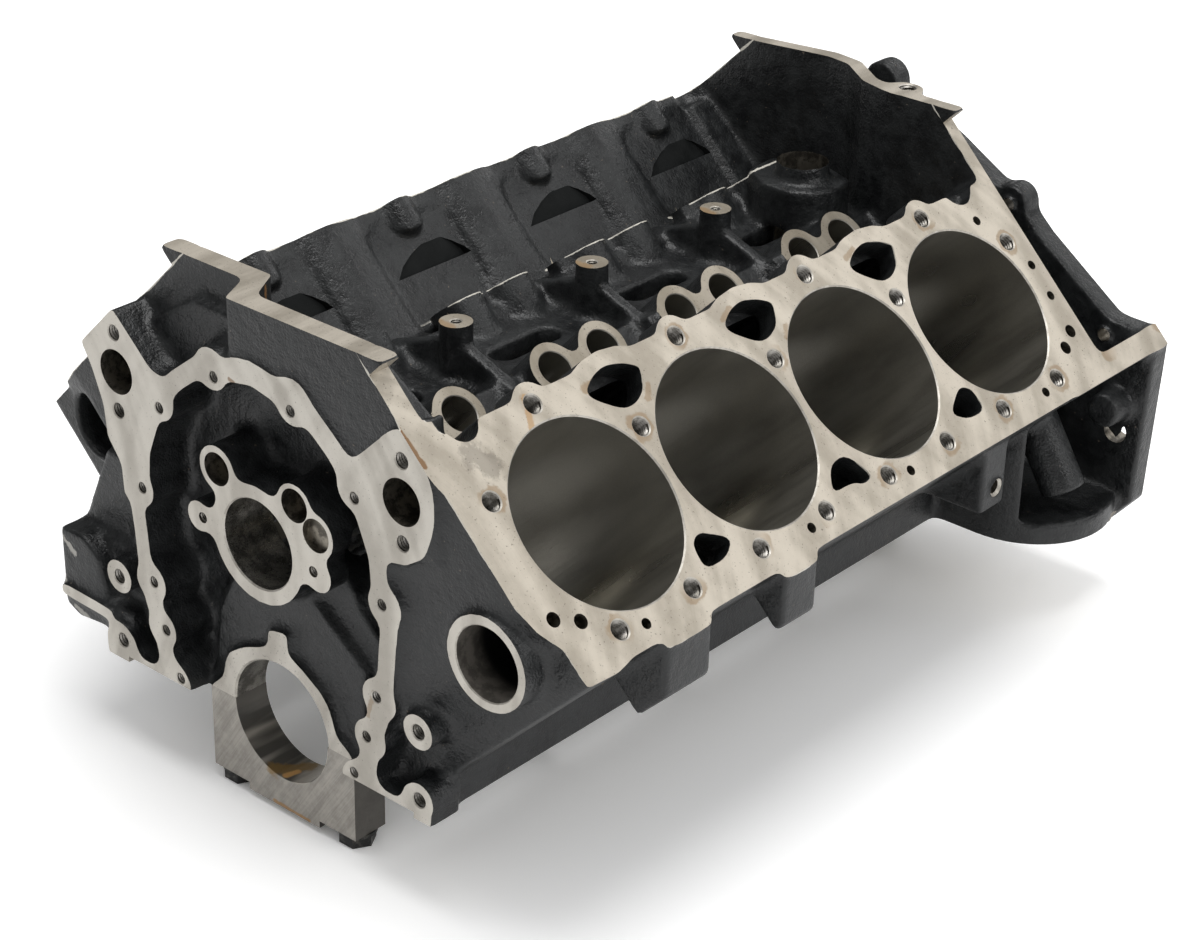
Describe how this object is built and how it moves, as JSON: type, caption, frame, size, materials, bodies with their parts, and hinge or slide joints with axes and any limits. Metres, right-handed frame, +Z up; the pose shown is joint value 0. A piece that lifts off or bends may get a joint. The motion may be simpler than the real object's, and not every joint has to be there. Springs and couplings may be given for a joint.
{
  "type": "engine block",
  "caption": "Bare V-shaped engine block with bored decks, lifter valley, timing rim, bell housing flange and bolted main bearing caps.",
  "frame": {"origin": "crank axis at the plane of the machined front face", "axes": "+Y along the crank to the bell housing, +X towards the bank that sits further forward, +Z up between the banks"},
  "size_m": [0.4314, 0.554, 0.309],
  "materials": {
    "block": "black painted casting, machined faces bare",
    "cap": "machined",
    "bolt": "black oxide"
  },
  "bodies": {
    "root": {"engine_block": "block", "main_cap_front": "cap", "main_cap_second": "cap", "main_cap_centre": "cap", "main_cap_fourth": "cap", "main_cap_rear": "cap", "main_bolt_front_right": "bolt", "main_bolt_front_left": "bolt", "main_bolt_second_right_outer": "bolt", "main_bolt_second_right": "bolt", "main_bolt_second_left": "bolt", "main_bolt_second_left_outer": "bolt", "main_bolt_centre_right_outer": "bolt", "main_bolt_centre_right": "bolt", "main_bolt_centre_left": "bolt", "main_bolt_centre_left_outer": "bolt", "main_bolt_fourth_right_outer": "bolt", "main_bolt_fourth_right": "bolt", "main_bolt_fourth_left": "bolt", "main_bolt_fourth_left_outer": "bolt", "main_bolt_rear_right": "bolt", "main_bolt_rear_left": "bolt"}
  },
  "joints": []
}
